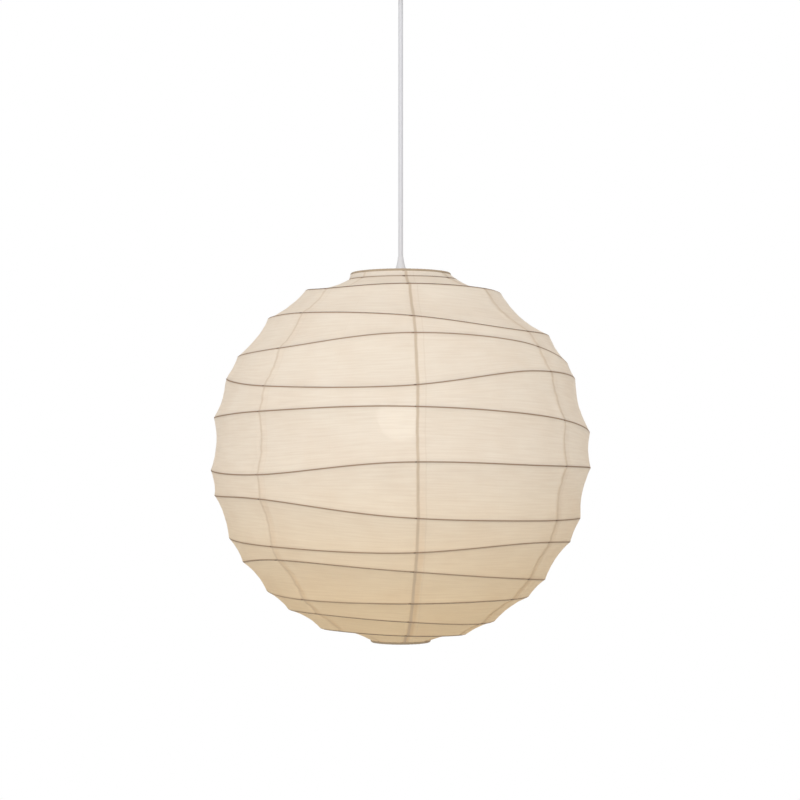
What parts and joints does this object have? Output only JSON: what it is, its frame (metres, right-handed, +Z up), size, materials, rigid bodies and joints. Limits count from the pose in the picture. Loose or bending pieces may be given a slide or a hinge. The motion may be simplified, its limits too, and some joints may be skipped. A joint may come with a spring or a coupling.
{
  "type": "pendant lamp shade",
  "caption": "Round paper ball pendant shade with irregular spiral ribs, hung by its cord from a ceiling cup, with stretcher, lampholder and bulb.",
  "frame": {"origin": "middle of the ceiling bracket's face that goes against the ceiling", "axes": "+Z up, at right angles to the ceiling; the stretcher and the bracket lie along X; -Y is the front"},
  "size_m": [0.447, 0.447, 0.8309],
  "materials": {
    "shade_paper": "pale cream handmade-look paper, matt, lets light through",
    "hem_paper": "the same paper, rolled and glued round the ring wire",
    "rib_wire": "thin grey-brown coated wire",
    "zinc_wire": "zinc-plated bright wire",
    "cord_sheath": "white PVC sheath, soft shine",
    "live_core": "brown insulation",
    "neutral_core": "blue insulation",
    "core_sleeve": "insulated conductors",
    "bracket_steel": "pressed zinc-plated steel",
    "screw_steel": "zinc-plated steel",
    "white_plastic": "moulded white, satin",
    "soft_vinyl": "soft white moulding",
    "clear_white_nylon": "natural nylon",
    "steatite": "unglazed",
    "brass": "bright pressed brass",
    "bulb_aluminium": "drawn aluminium, threaded",
    "bulb_insulator": "black insulator",
    "bulb_plastic": "white heat-conducting plastic",
    "bulb_opal": "opal diffuser",
    "led_board": "white-lacquered circuit board"
  },
  "bodies": {
    "ceiling": {"ceiling_bracket": "bracket_steel", "canopy_cup": "white_plastic", "cup_screws": "screw_steel", "cord_anchor": "clear_white_nylon", "anchor_screws": "screw_steel", "terminal_block": "clear_white_nylon", "terminal_screws": "screw_steel", "live_core": "live_core", "neutral_core": "neutral_core", "cord_tail": "cord_sheath", "cord_gland": "white_plastic", "gland_nut": "white_plastic"},
    "pendant": {"centre_contact": "brass", "cord": "cord_sheath", "cord_clamp": "clear_white_nylon", "holder_cap": "white_plastic", "holder_cores": "core_sleeve", "holder_loop": "zinc_wire", "holder_skirt": "white_plastic", "holder_terminals": "brass", "paper_gore_1": "shade_paper", "paper_gore_2": "shade_paper", "paper_gore_3": "shade_paper", "paper_gore_4": "shade_paper", "paper_gore_5": "shade_paper", "paper_gore_6": "shade_paper", "paper_gore_7": "shade_paper", "rib_wire": "rib_wire", "socket_insert": "steatite", "socket_shell": "brass", "strain_relief": "soft_vinyl", "stretcher_wire_left": "zinc_wire", "stretcher_wire_right": "zinc_wire", "top_hem": "hem_paper", "top_ring": "zinc_wire"},
    "bottom_hoop": {"bottom_ring": "zinc_wire", "bottom_hem": "hem_paper"},
    "shade_ring": {"shade_ring": "white_plastic"},
    "bulb": {"bulb_contact": "brass", "bulb_insulator": "bulb_insulator", "bulb_screw_cap": "bulb_aluminium", "bulb_housing": "bulb_plastic", "led_board": "led_board", "bulb_dome": "bulb_opal"}
  },
  "joints": [
    {"name": "pendant_swing", "type": "hinge", "parent": "ceiling", "child": "pendant", "pos_m": [0, 0, -0.057], "axis": [0, 1, 0], "range_deg": [-12, 12]},
    {"name": "shade_fold", "type": "slide", "parent": "pendant", "child": "bottom_hoop", "axis": [0, 0, 1], "range_m": [0, 0.4], "deforming": ["rib_wire", "paper_gore_1", "paper_gore_2", "paper_gore_3", "paper_gore_4", "paper_gore_5", "paper_gore_6", "paper_gore_7"]},
    {"name": "shade_ring_unscrew", "type": "slide", "parent": "pendant", "child": "shade_ring", "axis": [0, 0, -1], "range_m": [0, 0.03]},
    {"name": "bulb_out", "type": "slide", "parent": "pendant", "child": "bulb", "axis": [0, 0, -1], "range_m": [0, 0.375]}
  ]
}
